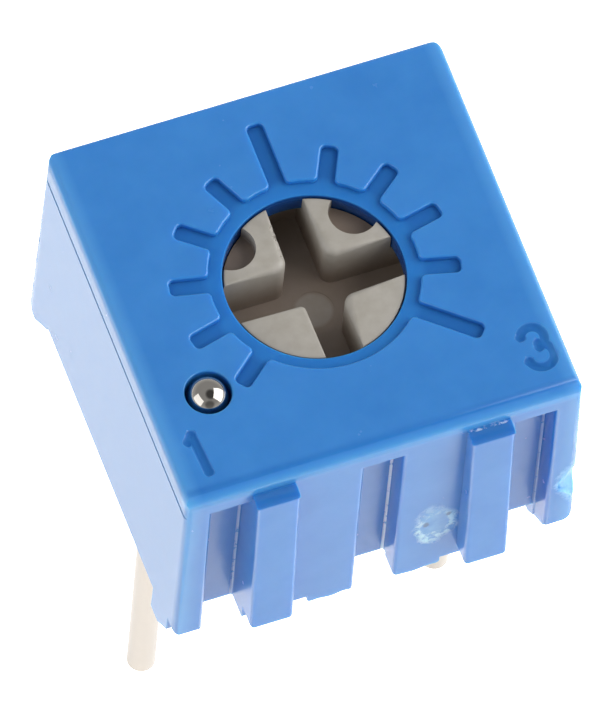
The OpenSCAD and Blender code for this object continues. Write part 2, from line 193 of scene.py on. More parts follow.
# ---- Mesh helpers --------------------------------------------------------------------------------
def shift(bm, by):
    bmesh.ops.translate(bm, vec=by, verts=bm.verts)
    return bm


def turn(bm, degrees, axis):
    matrix = Matrix.Rotation(math.radians(degrees), 3, axis)
    bmesh.ops.rotate(bm, verts=bm.verts, cent=(0, 0, 0), matrix=matrix)
    return bm


def block(low, high):
    """A box between two corners."""
    bm = bmesh.new()
    low, high = Vector(low), Vector(high)
    bmesh.ops.create_cube(bm, size=1)
    bmesh.ops.scale(bm, vec=high - low, verts=bm.verts)
    return shift(bm, (low + high) / 2)


def bar(r, z0, z1, at=(0, 0), segments=96):
    """An upright round bar."""
    bm = bmesh.new()
    bmesh.ops.create_cone(bm, cap_ends=True, segments=segments, radius1=r, radius2=r, depth=z1 - z0)
    return shift(bm, (at[0], at[1], (z0 + z1) / 2))


def lump(at, size, seed, rough=0.25, grain=3.0, subdivisions=4):
    """A rough closed lump: a sphere scaled to size and pushed in and out by fractal noise."""
    bm = bmesh.new()
    bmesh.ops.create_icosphere(bm, subdivisions=subdivisions, radius=1)
    for v in bm.verts:
        push = 1 + rough * noise.fractal(v.co * grain + Vector((seed, 0, 0)), 0.7, 2.0, 4)
        v.co = Vector(at) + Vector([part * side * push for part, side in zip(v.co, size)])
    return bm


def is_sharp(edge, degrees):
    return len(edge.link_faces) == 2 and edge.calc_face_angle(0) > math.radians(degrees)


def is_outer(edge, degrees):
    """A sharp edge that stands out."""
    return is_sharp(edge, degrees) and edge.calc_face_angle_signed(0) > 0


def is_inner(edge, degrees):
    """A sharp edge in an inner corner."""
    return is_sharp(edge, degrees) and edge.calc_face_angle_signed(0) < 0


def is_upright(edge):
    along = edge.verts[1].co - edge.verts[0].co
    return abs(along.z) > 0.9 * along.length


def round_edges(bm, test, width, segments=2):
    """Rounds the edges that test picks; test gets the edge's middle and the edge."""
    bm.normal_update()
    picked = [e for e in bm.edges if test((e.verts[0].co + e.verts[1].co) / 2, e)]
    if picked:
        bmesh.ops.bevel(bm, geom=picked, offset=width, offset_type="OFFSET", affect="EDGES",
                        segments=segments, profile=0.5, material=-1, clamp_overlap=False)
    return bm


def to_object(bm, name):
    mesh = bpy.data.meshes.new(name)
    bm.normal_update()
    bm.to_mesh(mesh)
    bm.free()
    obj = bpy.data.objects.new(name, mesh)
    bpy.context.scene.collection.objects.link(obj)
    return obj


def remove(obj):
    data = obj.data
    bpy.data.objects.remove(obj)
    if isinstance(data, bpy.types.Mesh):
        bpy.data.meshes.remove(data)
    else:
        bpy.data.curves.remove(data)


def evaluated(obj):
    """An object as its modifiers or its curve's thickness make it, as a bmesh; the object goes."""
    bm = bmesh.new()
    bm.from_mesh(obj.evaluated_get(bpy.context.evaluated_depsgraph_get()).to_mesh())
    remove(obj)
    return bm


def tidy_up(bm):
    """Merges doubled points and drops the needless edges across flat faces."""
    bmesh.ops.remove_doubles(bm, verts=bm.verts, dist=0.0008)
    bmesh.ops.dissolve_degenerate(bm, edges=bm.edges, dist=0.0005)
    bmesh.ops.dissolve_limit(bm, angle_limit=math.radians(0.4), verts=bm.verts, edges=bm.edges)


def combine(bm, tools, operation="DIFFERENCE"):
    """The solid bm joined with, or cut by, each solid in tools. Returns a new bmesh."""
    for tool in tools if isinstance(tools, list) else [tools]:
        base, other = to_object(bm, "base"), to_object(tool, "tool")
        modifier = base.modifiers.new("combine", "BOOLEAN")
        modifier.operation = operation
        modifier.object = other
        modifier.solver = "EXACT"
        bm = evaluated(base)
        remove(other)
        tidy_up(bm)
    return bm


def flare(bm, level, r, along=(0, 0, 1), keep=(), steps=4):
    """Opens a cutting solid outwards where it meets the surface at a level, so that the rim it
    leaves is rounded. Sides that face one of the keep directions stay as they are."""
    along = Vector(along)
    for i in range(steps + 1):
        height = level - r + r * math.sin(math.radians(90 * i / steps))
        bmesh.ops.bisect_plane(bm, geom=bm.verts[:] + bm.edges[:] + bm.faces[:], plane_co=along * height,
                               plane_no=along, dist=1e-6)
    bm.normal_update()
    moves = []
    for v in bm.verts:
        rise = min(1, (v.co.dot(along) - level + r) / r)
        sides = [f.normal.copy() for f in v.link_faces if abs(f.normal.dot(along)) < 0.1
                 and all(f.normal.dot(Vector(k)) < 0.9 for k in keep)]
        if rise > 1e-4 and sides:
            out = sum(sides, Vector()).normalized()
            widen = r * (1 - math.sqrt(1 - rise * rise))
            moves.append((v, out * widen / max(0.6, min(out.dot(n) for n in sides))))
    for v, move in moves:
        v.co += move
    return bm


# ---- Materials -----------------------------------------------------------------------------------
def linear(code):
    """An sRGB hex colour as a linear colour."""
    parts = [int(code[i:i + 2], 16) / 255 for i in (1, 3, 5)]
    return tuple(c / 12.92 if c <= 0.04045 else ((c + 0.055) / 1.055) ** 2.4 for c in parts) + (1,)


def add(tree, kind, inputs=None, **settings):
    """Adds a node: settings go on the node, inputs are values or other nodes' sockets."""
    made = tree.nodes.new("ShaderNode" + kind)
    for name, value in settings.items():
        setattr(made, name, value)
    for name, value in (inputs or {}).items():
        if isinstance(value, bpy.types.NodeSocket):
            tree.links.new(value, made.inputs[name])
        else:
            made.inputs[name].default_value = value
    return made


def start(name, shader):
    """A new material: its tree, its Principled shader and the Object coordinates in millimetres."""
    made = bpy.data.materials.new(name)
    made.use_nodes = True
    tree = made.node_tree
    tree.nodes.clear()
    surface = add(tree, "BsdfPrincipled", shader)
    add(tree, "OutputMaterial", {"Surface": surface.outputs[0]})
    place = add(tree, "VectorMath", {0: add(tree, "TexCoord").outputs["Object"], "Scale": 1 / MM},
                operation="SCALE").outputs[0]
    return made, tree, surface, place


def region(tree, values, limits):
    """How much a point belongs to a region: the product of its limits. A limit names a value, says
    where it counts nothing and where it counts in full, and then what that is, if not 0 and 1."""
    share = None
    for name, none_at, full_at, *counts in limits:
        nothing, full = counts or (0.0, 1.0)
        fade = add(tree, "MapRange", {"Value": values[name], "From Min": none_at, "From Max": full_at,
                                      "To Min": nothing, "To Max": full}).outputs[0]
        if share is None:
            share = fade
        else:
            share = add(tree, "Math", {0: share, 1: fade}, operation="MULTIPLY").outputs[0]
    return share


def tinted(tree, values, colour, tints):
    """A colour with tints laid over it in turn, each in its own region."""
    for code, limits in tints:
        colour = add(tree, "Mix", {0: region(tree, values, limits), 6: colour, 7: linear(code)},
                     data_type="RGBA").outputs[2]
    return colour


def scar_reach(tree, place, at, size, noise_value, ragged):
    """The distance from a scar's middle, 1 at its edge, made ragged by a noise."""
    gap = add(tree, "VectorMath", {0: place, 1: at}, operation="SUBTRACT").outputs[0]
    gap = add(tree, "VectorMath", {0: gap, 1: [1 / side for side in size]}, operation="MULTIPLY").outputs[0]
    gap = add(tree, "VectorMath", {0: gap}, operation="LENGTH").outputs["Value"]
    sway = region(tree, {"noise": noise_value}, [("noise", 0.3, 0.7, -ragged, ragged)])
    return add(tree, "Math", {0: gap, 1: sway}, operation="ADD").outputs[0]


def blue_values(tree, place):
    """What the regions of the blue moulding go by: places in millimetres, noises and scars."""
    noises = []
    for size, detail, rough in ((TORN_GRAIN, 6.0, 0.7), (TORN_PATCH, 5.0, 0.65), (FLOW_MARK, 4.0, 0.6)):
        made = add(tree, "TexNoise", {"Vector": place, "Scale": 1 / size, "Detail": detail,
                                      "Roughness": rough})
        noises.append(made.outputs["Fac"])
    torn, patch, flow = noises
    spot = add(tree, "SeparateXYZ", {0: place}).outputs
    flat = add(tree, "VectorMath", {0: place, 1: (1, 1, 0)}, operation="MULTIPLY").outputs[0]
    values = {
        "x": spot["X"],
        "y": spot["Y"],
        "z": spot["Z"],
        "wide": add(tree, "Math", {0: spot["X"]}, operation="ABSOLUTE").outputs[0],
        "out": add(tree, "VectorMath", {0: flat}, operation="LENGTH").outputs["Value"],
        "flow": flow,
        "torn": torn,
        "patch": patch,
        "chip": scar_reach(tree, place, CHIP_AT, CHIP_SIZE, torn, 0.2),
        "gate": scar_reach(tree, place, GATE_AT, GATE_SIZE, patch, 0.35)}
    for i, (x, z) in enumerate(GATE_PITS):
        pit_at = (GATE_AT[0] + x, GATE_AT[1], GATE_AT[2] + z)
        values[f"pit_{i}"] = scar_reach(tree, place, pit_at, PIT_SIZE, torn, 0.3)
    values["sunk"] = region(tree, values, SUNK)
    return values


# regions of the blue moulding, as limits for region()
# the dial's recesses, which get painted shade and a matt finish
SUNK = [("z", TOP_Z - 0.22, TOP_Z - 0.20), ("y", FRONT_Y + 0.28, FRONT_Y + 0.32),
        ("y", BACK_Y - 0.15, BACK_Y - 0.20), ("wide", HALF_W - 0.18, HALF_W - 0.20),
        ("z", TOP_Z - 0.004, TOP_Z - 0.025)]
WINDOW_WALL_SHADE = [("out", WINDOW_R + 0.04, WINDOW_R + 0.02), ("z", MARK_FLOOR, MARK_FLOOR - 0.035, 0.0, 0.9)]
PAINTED_END_GLOW = [("wide", HALF_W - 0.30, HALF_W - 0.02, 0.0, 0.6)]
PAINTED_END_FACE_LIGHT = [("wide", HALF_W - 0.03, HALF_W)]
ROUND_START_SHADE = [("y", FRONT_Y + 0.30, FRONT_Y + 0.22), ("z", TOP_Z - 0.04, TOP_Z - 0.01, 0.0, 0.4)]
ROUND_LOW_GLOW = [("y", FRONT_Y + 0.30, FRONT_Y + 0.22), ("z", TOP_Z - 0.30, TOP_Z - 0.20),
             ("z", TOP_Z - 0.04, TOP_Z - 0.12, 0.0, 0.5)]
RIB_TOP_SHADE = [("z", RIB_TOP - 0.10, RIB_TOP - 0.03), ("z", RIB_TOP + 0.01, RIB_TOP + 0.005),
            ("y", FRONT_Y - 0.01, FRONT_Y - 0.03, 0.0, 0.7)]
PARTING_LINE = [("x", -HALF_W + 0.02, -HALF_W - 0.03), ("z", PARTING_Z - 0.037, PARTING_Z - 0.035),
                ("z", PARTING_Z + 0.037, PARTING_Z + 0.035)]
CHIPPED = [("chip", 1.2, 0.9, 0.0, 0.75)]
GATE_DISH = [("gate", 0.85, 0.75)]
GATE_CRUMBS = [("gate", 0.60, 0.80), ("gate", 1.2, 1.0), ("torn", 0.42, 0.54),
               ("z", GATE_AT[2] + 0.4, GATE_AT[2], 0.4, 1.0)]
RIB_BACK = [("x", 0.9, 1.0), ("x", RIB_X[1] + 0.37, RIB_X[1] + 0.36), ("y", FRONT_Y - 0.06, FRONT_Y - 0.04),
            ("y", FRONT_Y + 0.01, FRONT_Y - 0.02), ("z", RIB_TOP - 0.05, RIB_TOP - 0.03),
            ("z", RIB_TOP + 0.05, RIB_TOP + 0.03), ("torn", 0.52, 0.60, 0.0, 0.8)]


def groove_highlight(x):
    """Limits of the painted highlight in a groove's right-hand inner corner; the middle groove shows most.
    """
    corner = x + GROOVE_W / 2 - 0.03
    most = 0.9 if x == 0 else 0.25
    return [("x", corner - 0.023, corner - 0.021), ("x", corner + 0.023, corner + 0.021),
            ("y", GROOVE_Y - 0.07, GROOVE_Y - 0.03), ("y", GROOVE_Y + 0.02, GROOVE_Y + 0.01),
            ("torn", 0.38, 0.44), ("z", GROOVE_TOP, GROOVE_TOP - 0.02, 0.0, most)]


BLUE_TINTS = [
    # faint flow marks
    ("#3588D1", [("flow", 0.3, 0.7)]),
    # painted shade: darker where the dial is sunk, the marks and numbers most and the ring less, and in the
    # window
    ("#1F6BB6", [("sunk", 0.0, 1.0), ("out", RING_R, RING_R + 0.12, 0.45, 0.9)]),
    ("#103A7A", WINDOW_WALL_SHADE),
    # painted light: paler towards the end walls, for the light that comes through the thin edge, and paler
    # and greyer on the end faces themselves
    ("#62AEE2", PAINTED_END_GLOW),
    ("#578CC6", PAINTED_END_FACE_LIGHT),
    # painted light: the same glow low on the front's rounded edge, below a darker line of painted shade
    # where the rounding starts
    ("#1F6BB6", ROUND_START_SHADE),
    ("#62AEE2", ROUND_LOW_GLOW),
    # painted shade: the ribs' tops are darker
    ("#1764AE", RIB_TOP_SHADE),
    # dirt in the parting line
    ("#4C5562", PARTING_LINE),
    # stressed, paler plastic over the chip, and over the torn ring that the gate left round a dish
    ("#8CCBEF", CHIPPED),
    ("#7DBDE6", GATE_DISH + [("patch", 0.35, 0.65, 0.25, 0.75)]),
    ("#B9E2F6", GATE_CRUMBS),
    # painted shade: the gate's two pits are only dark spots, not cut
    ("#2E5E8E", [("pit_0", 1.2, 0.6, 0.0, 0.9)]),
    ("#2E5E8E", [("pit_1", 1.2, 0.6, 0.0, 0.9)]),
    # painted highlight: a ragged white line along the inner corners of the grooves
    *[("#E8F1F8", groove_highlight(x)) for x in GROOVE_X],
    # white crumbs along the back of the rib beside terminal 3's groove
    ("#D5E6F5", RIB_BACK)]


def moulded_blue():
    """Injection-moulded PBT: a saturated blue that lets a little light through its edges, with a
    satin gloss that breaks up where the mould is worn, paler stressed plastic at the scars, and
    painted light and shade on its edges, ribs, grooves and recesses."""
    made, tree, surface, place = start("blue_pbt_moulded", {
        "IOR": 1.57, "Subsurface Weight": 0.7, "Subsurface Scale": 0.3 * MM,
        "Subsurface Radius": (0.25, 0.7, 1.0)})
    values = blue_values(tree, place)
    colour = tinted(tree, values, linear("#2C80CB"), BLUE_TINTS)
    tree.links.new(colour, surface.inputs["Base Color"])

    # the sunk parts are matt: the mould is engraved there, not polished
    skin = add(tree, "TexNoise", {"Vector": place, "Scale": 1 / SKIN_RIPPLE, "Detail": 4.0}).outputs["Fac"]
    gloss = add(tree, "MapRange", {"Value": skin, "To Min": 0.20, "To Max": 0.30})
    matt = region(tree, values, [("sunk", 0.0, 1.0), ("out", RING_R, RING_R + 0.12, 0.1, 0.4)])
    gloss = add(tree, "Math", {0: gloss.outputs[0], 1: matt}, operation="ADD")
    tree.links.new(gloss.outputs[0], surface.inputs["Roughness"])
    mirror = region(tree, values, [("sunk", 0.0, 1.0, 0.5, 0.15)])
    tree.links.new(mirror, surface.inputs["Specular IOR Level"])

    # crumbs stand out round the gate's scar, and its dish lies low
    raised = region(tree, values, GATE_CRUMBS)
    hollow = region(tree, values, GATE_DISH + [("torn", 0.0, 1.0, -0.3, -0.1)])
    relief = add(tree, "Math", {0: raised, 1: hollow}, operation="ADD").outputs[0]
    ripple = add(tree, "Bump", {"Height": skin, "Strength": 0.3, "Distance": 0.004 * MM}).outputs[0]
    scar = add(tree, "Bump", {"Height": relief, "Strength": 0.4, "Distance": 0.02 * MM, "Normal": ripple})
    tree.links.new(scar.outputs[0], surface.inputs["Normal"])
    return made


def rotor_beige():
    """Moulded glass-filled nylon: beige and matt, with brown dirt and painted shade low in the slot and on
    the pockets' floors.
    """
    made, tree, surface, place = start("beige_rotor_nylon", {"IOR": 1.53, "Roughness": 0.45})
    cloud = add(tree, "TexNoise", {"Vector": place, "Scale": 1 / NYLON_CLOUD, "Detail": 4.0}).outputs["Fac"]
    grit = add(tree, "TexNoise", {"Vector": place, "Scale": 1 / NYLON_GRIT, "Detail": 2.0}).outputs["Fac"]
    values = {"cloud": cloud, "z": add(tree, "SeparateXYZ", {0: place}).outputs["Z"]}
    floors = {"ejector": EJECTOR_AT + (SLOT_FLOOR,), "pocket_0": POCKETS_AT[0] + (POCKET_FLOOR,),
              "pocket_1": POCKETS_AT[1] + (POCKET_FLOOR,)}
    for name, at in floors.items():
        values[name] = add(tree, "VectorMath", {0: place, 1: at}, operation="DISTANCE").outputs["Value"]
    # dirt and painted shade: darker and browner low in the slot, less so on the round ejector mark, and on
    # the pockets' floors too
    dirt_and_shade = region(tree, values, [("z", SLOT_FLOOR + 0.15, HEAD_TOP - 0.10, 0.72, 0.0),
                                  ("ejector", EJECTOR_R - 0.06, EJECTOR_R, 0.55, 1.0)])
    for name in ("pocket_0", "pocket_1"):
        low = region(tree, values, [(name, POCKET_R + 0.03, POCKET_R - 0.02, 0.0, 0.8)])
        dirt_and_shade = add(tree, "Math", {0: dirt_and_shade, 1: low}, operation="MAXIMUM").outputs[0]
    values["dirt_and_shade"] = dirt_and_shade
    tints = [("#A9A49C", [("cloud", 0.3, 0.7)]), ("#735F50", [("dirt_and_shade", 0.0, 1.0)])]
    tree.links.new(tinted(tree, values, linear("#9F9A90"), tints), surface.inputs["Base Color"])
    bump = add(tree, "Bump", {"Height": grit, "Strength": 0.2, "Distance": 0.002 * MM})
    tree.links.new(bump.outputs[0], surface.inputs["Normal"])
    return made


def mottled(name, code, rough, shader):
    """A finish of one colour with a faint mottle in its tone and its gloss."""
    made, tree, surface, place = start(name, shader)
    cloud = add(tree, "TexNoise", {"Vector": place, "Scale": 1 / MOTTLE, "Detail": 3.0}).outputs["Fac"]
    light = linear(code)
    dark = tuple(c * 0.92 for c in light[:3]) + (1,)
    tone = add(tree, "Mix", {0: cloud, 6: dark, 7: light}, data_type="RGBA")
    tree.links.new(tone.outputs[2], surface.inputs["Base Color"])
    gloss = add(tree, "MapRange", {"Value": cloud, "To Min": rough * 0.85, "To Max": rough * 1.15})
    tree.links.new(gloss.outputs[0], surface.inputs["Roughness"])
    return made


# ---- Housing -------------------------------------------------------------------------------------
def edge_cutter(facing, distance, r):
    """What a rounded top edge takes off: the corner of a block outside a round bar. The edge lies at a
    distance from the rotor's axis and faces so many degrees round from terminal 3's end."""
    corner = block((distance - r, -FAR, TOP_Z - r), (distance + 1, FAR, TOP_Z + 1))
    rod = turn(bar(r, -FAR - 1, FAR + 1, segments=64), 90, "X")
    return turn(combine(corner, shift(rod, (distance - r, 0, TOP_Z - r))), facing, "Z")


def rib(x):
    """A rib of the front wall. Its front leans back, and its top edge is rounded to an ellipse."""
    made = block((x - RIB_W / 2, RIB_FRONT, RIB_LOW), (x + RIB_W / 2, FRONT_Y + 0.1, RIB_TOP))
    round_edges(made, lambda m, e: m.y < RIB_FRONT + NEAR and m.z > RIB_TOP - NEAR, RIB_ROUND_Z, 8)
    for v in made.verts:
        if v.co.y < RIB_FRONT + RIB_ROUND_Z + NEAR:
            v.co.y = RIB_FRONT + (v.co.y - RIB_FRONT) * RIB_ROUND_Y / RIB_ROUND_Z
            v.co.y += RIB_LEAN * (v.co.z - RIB_LOW) / (RIB_TOP - RIB_LOW)

    def is_corner(m, e):
        on_low_side = m.z < RIB_LOW + NEAR and abs(m.x - x) > RIB_W / 2 - NEAR
        return on_low_side or (is_upright(e) and m.y < RIB_FRONT + RIB_LEAN + NEAR)

    return round_edges(made, is_corner, RIB_CORNER_R, 5)


def foot(side, y0, y1):
    """A foot under an end wall; its front end slopes up to the wall."""
    x0, x1 = sorted((side * (HALF_W + CLEAR), side * (HALF_W - SIDE_WALL)))
    made = block((x0, y0, 0), (x1, y1, WALL_Z + 0.1))

    def is_back_corner(m, e):
        return is_upright(e) and side * m.x > HALF_W - NEAR and m.y > BACK_Y - NEAR

    round_edges(made, is_back_corner, BACK_CORNER_R, 5)
    return round_edges(made, lambda m, e: m.z < NEAR and m.y < y0 + NEAR, FOOT_SLOPE, 1)


def pad(side):
    """The low lip of the front wall beside the middle groove, with its wavy trimmed edge."""
    x0 = GROOVE_W / 2 if side > 0 else -GROOVE_W / 2 - PAD_W
    middle = x0 + PAD_W / 2
    made = block((x0, FRONT_Y - 1.5 * CLEAR, PAD_LOW), (x0 + PAD_W, FRONT_Y + 0.30, WALL_Z + 0.25))
    round_edges(made, lambda m, e: m.z < PAD_LOW + NEAR and abs(m.x - middle) > 0.3, PAD_CORNER_R, 4)
    long_edges = [e for e in made.edges if abs((e.verts[1].co - e.verts[0].co).x) > 0.5]
    bmesh.ops.subdivide_edges(made, edges=long_edges, cuts=24, use_grid_fill=True)
    for v in made.verts:
        if v.co.z < WALL_Z:
            wave = PAD_WAVE * noise.noise(Vector((v.co.x * 3.1, side * 7.3, 0)))
            v.co.z += wave + PAD_SLANT * side * (v.co.x - middle - 0.01)
    return made


def groove(x):
    """One upright groove of the front wall, with a small fillet in its right-hand corner."""
    made = block((x - GROOVE_W / 2, FRONT_Y - 1, -1), (x + GROOVE_W / 2, GROOVE_Y, GROOVE_TOP))
    round_edges(made, lambda m, e: is_upright(e) and m.y > GROOVE_Y - NEAR and m.x > x, GROOVE_CORNER_R, 3)
    keep = [(0, 0, -1)]
    if x == GROOVE_X[0]:
        keep.append((1, 0, 0))          # the first groove's wall runs on into the rib
    return flare(made, -FRONT_Y, GROOVE_RIM_R, along=(0, -1, 0), keep=keep)


def post_cutter(side):
    """What the rounded lower outer corner of an end post takes off."""
    r = POST_R[side]
    x, z = side * (HALF_W - r), WALL_Z + r
    corner = block((min(x, FAR * side), FRONT_Y - 1, -1), (max(x, FAR * side), FRONT_Y + POST_DEPTH, z))
    rod = turn(bar(r, -4, 4, segments=64), 90, "X")
    return combine(corner, shift(rod, (x, FRONT_Y, z)))


def walls():
    """The outside of the moulding, before its top and its inside are cut."""
    body = block((-HALF_W, FRONT_Y, WALL_Z), (HALF_W, BACK_Y, TOP_Z))
    round_edges(body, lambda m, e: is_upright(e) and m.y > 0, BACK_CORNER_R, 5)
    round_edges(body, lambda m, e: is_upright(e) and m.y < FRONT_Y + NEAR, CORNER_R, 4)
    round_edges(body, lambda m, e: abs(m.z - WALL_Z) < NEAR, LOW_EDGE_R, 2)
    body = combine(body, [edge_cutter(-90, -FRONT_Y, FRONT_EDGE_R), edge_cutter(90, BACK_Y, BACK_EDGE_R),
                          edge_cutter(180, HALF_W, LEFT_EDGE_R), edge_cutter(0, HALF_W, RIGHT_EDGE_R)])
    feet = [foot(side, y0, y1) for side in (-1, 1) for y0, y1 in (FRONT_FOOT_Y, BACK_FOOT_Y)]
    body = combine(body, [rib(x) for x in RIB_X] + feet + [pad(-1), pad(1)], "UNION")
    return combine(body, [groove(x) for x in GROOVE_X] + [post_cutter(-1), post_cutter(1)])


def scar_cutters():
    """The chip out of the post beside terminal 3, nicks along the upright edge behind terminal 1, and
    the mould's parting line along terminal 1's side."""
    chip = lump(CHIP_AT, CHIP_SIZE, 8, rough=0.12, grain=1.3)
    nicks = [lump((-HALF_W - 0.01, BACK_Y - 0.12, TOP_Z - drop), (0.08, 0.06, 0.04 + 0.01 * i), 20 + i,
                  subdivisions=2) for i, drop in enumerate(NICK_DROPS)]
    half = PARTING_W / 2
    line = turn(block((-half, -FAR, -half), (half, FAR, half)), 45, "Y")
    return [chip] + nicks + [shift(line, (-HALF_W, 0, PARTING_Z))]


def scale_mark(angle, reach):
    made = block((WINDOW_R - 0.05, -MARK_W / 2, MARK_FLOOR), (reach, MARK_W / 2, TOP_Z + 1))
    round_edges(made, lambda m, e: m.x > reach - NEAR and is_upright(e), MARK_END_R, 5)
    return turn(made, angle, "Z")


def dial_recess():
    """The ring round the window and the scale marks, as one cutting solid."""
    cutter = bar(RING_R, MARK_FLOOR, TOP_Z + 1, segments=168)
    marks = [scale_mark(90 + k * MARK_STEP, LONG_REACH if k in (0, -MARKS_EACH_SIDE) else SHORT_REACH)
             for k in range(-MARKS_EACH_SIDE, MARKS_EACH_SIDE + 1)]
    cutter = combine(cutter, marks, "UNION")

    def is_corner(e):
        return is_upright(e) and is_inner(e, 30)

    # the ring's short steps beside each mark go, to leave room for the corner's radius
    cutter.normal_update()
    corners = [e.verts[0].co.xy for e in cutter.edges if is_corner(e)]
    steps = [e for e in cutter.edges if is_upright(e) and not is_sharp(e, 12)
             and any((e.verts[0].co.xy - c).length < 0.13 for c in corners)]
    bmesh.ops.dissolve_edges(cutter, edges=steps, use_verts=True)
    round_edges(cutter, lambda m, e: is_corner(e), MARK_CORNER_R, 4)
    return flare(cutter, TOP_Z + CLEAR, MARK_RIM_R)


def stroke_cutter(points, at):
    """A round cutting tube along the points of a numeral's stroke, mostly above the dial."""
    curve = bpy.data.curves.new("stroke", "CURVE")
    curve.dimensions = "3D"
    curve.bevel_depth = STROKE_R
    curve.bevel_resolution = 3
    curve.use_fill_caps = True
    line = curve.splines.new("POLY")
    line.points.add(len(points) - 1)
    for spot, (x, y) in zip(line.points, points):
        spot.co = (at[0] + x, at[1] + y, TOP_Z + STROKE_R - STROKE_DEPTH, 1)
    obj = bpy.data.objects.new("stroke", curve)
    bpy.context.scene.collection.objects.link(obj)
    bm = evaluated(obj)
    bmesh.ops.remove_doubles(bm, verts=bm.verts, dist=0.0001)
    bmesh.ops.recalc_face_normals(bm, faces=bm.faces)
    return bm


def stroke_end(x, y):
    """The round end of a stroke, a little smaller than the tube so that no faces coincide."""
    bm = bmesh.new()
    bmesh.ops.create_icosphere(bm, subdivisions=3, radius=STROKE_R * 0.99)
    return shift(bm, (x, y, TOP_Z + STROKE_R - STROKE_DEPTH))


def arc(centre, r, start_angle, end_angle, steps=14):
    angles = [math.radians(start_angle + (end_angle - start_angle) * i / steps) for i in range(steps + 1)]
    return [(centre[0] + r * math.cos(a), centre[1] + r * math.sin(a)) for a in angles]


def numeral_cutters():
    """Round-bottomed cuts for the numbers of the two end terminals."""
    one = [[(-0.085, 0.25), (-0.01, 0.33)], [(0.0, 0.35), (0.044, -0.34)]]
    three = [arc((-0.02, 0.17), 0.19, 160, -75), arc((0.0, -0.16), 0.215, 80, -165)]
    cutters = []
    for strokes, at in ((one, ONE_AT), (three, THREE_AT)):
        for points in strokes:
            cutters.append(stroke_cutter(points, at))
            cutters += [stroke_end(at[0] + x, at[1] + y) for x, y in (points[0], points[-1])]
    return cutters


def make_housing():
    body = combine(walls(), scar_cutters())
    cavity = block((-HALF_W + SIDE_WALL, FRONT_Y + FRONT_WALL, -1),
                   (HALF_W - SIDE_WALL, BACK_Y - BACK_WALL, POT_TOP + 0.6))
    bore = bar(BORE_R, POT_TOP, PLATE_Z, segments=128)
    window = flare(bar(WINDOW_R, 1, TOP_Z + 1, segments=168), MARK_FLOOR + 1.5 * CLEAR, HOLE_RIM_R)
    vent = bar(VENT_R, BALL_AT.z - VENT_DEPTH, TOP_Z + 1, at=BALL_AT, segments=64)
    vent = flare(vent, TOP_Z + CLEAR, HOLE_RIM_R)
    body = combine(body, [cavity, bore, window, dial_recess(), vent] + numeral_cutters())
    # the feet and pads come flush with the walls
    for v in body.verts:
        if FRONT_Y - NEAR < v.co.y < FRONT_Y:
            v.co.y = FRONT_Y
        v.co.x = max(-HALF_W, min(HALF_W, v.co.x))
        v.co.y = min(BACK_Y, v.co.y)
    tidy_up(body)
    # draft: the walls lean out towards the board
    for v in body.verts:
        lean = DRAFT * (TOP_Z - v.co.z) / TOP_Z
        if abs(v.co.x) > HALF_W - 0.2:
            v.co.x += math.copysign(lean, v.co.x)
        if v.co.y > BACK_Y - 0.15:
            v.co.y += lean
        elif v.co.y < FRONT_Y + 0.2:
            v.co.y -= lean
    return body


# ---- Rotor, terminals and ball -------------------------------------------------------------------
def is_crisp(m):
    """On the land in front of terminal 1, which has kept its edges."""
    return m.x < 0 and m.y < 0


def slot_cutter():
    """The cross slot, with rounded corners in the middle of the cross."""
    across = block((-3, -SLOT_W / 2 - SLOT_EXTRA, SLOT_FLOOR), (3, SLOT_W / 2, TOP_Z))
    along = block((-SLOT_W / 2, -3, SLOT_FLOOR), (SLOT_W / 2, 3, TOP_Z))
    cross = combine(across, along, "UNION")

    def is_corner(e):
        return is_upright(e) and is_inner(e, 60)

    round_edges(cross, lambda m, e: is_corner(e) and not is_crisp(m), LAND_CORNER_R, 6)
    round_edges(cross, lambda m, e: is_corner(e) and is_crisp(m), CRISP_CORNER_R, 6)
    return combine(cross, bar(SLOT_REACH, 1, FAR, segments=128), "INTERSECT")


def make_rotor():
    head = bar(HEAD_R, DRUM_TOP - 0.3, HEAD_TOP, segments=128)
    drum = bar(DRUM_R, DRUM_LOW, DRUM_TOP, segments=128)
    blank = combine(drum, head, "UNION")

    def on_face(m, e):
        return abs(m.z - HEAD_TOP) < 0.002 and is_outer(e, 60)

    def by_slot(m, e):
        return on_face(m, e) and m.xy.length < HEAD_R - 0.05

    round_edges(blank, on_face, HEAD_EDGE_R, 2)
    blank = combine(blank, slot_cutter())
    # soft lands: generous radii along the slot, as on the moulded part
    round_edges(blank, lambda m, e: by_slot(m, e) and not is_crisp(m), LAND_EDGE_R, 6)
    round_edges(blank, lambda m, e: by_slot(m, e) and is_crisp(m), CRISP_EDGE_R, 4)
    pockets = [bar(POCKET_R, POCKET_FLOOR, TOP_Z, segments=64, at=at) for at in POCKETS_AT]
    ejector = bar(EJECTOR_R, SLOT_FLOOR - EJECTOR_DEPTH, SLOT_FLOOR + 0.01, at=EJECTOR_AT, segments=64)
    # the land by terminal 1's rear corner is chewed where the tool has slipped
    bites = [lump((-SLOT_W / 2 + 0.02, 0.52 + 0.17 * i, HEAD_TOP + 0.02), (0.09, 0.08, 0.10), 40 + i,
                  rough=0.3, subdivisions=3) for i in range(4)]
    return combine(blank, pockets + [ejector] + bites)


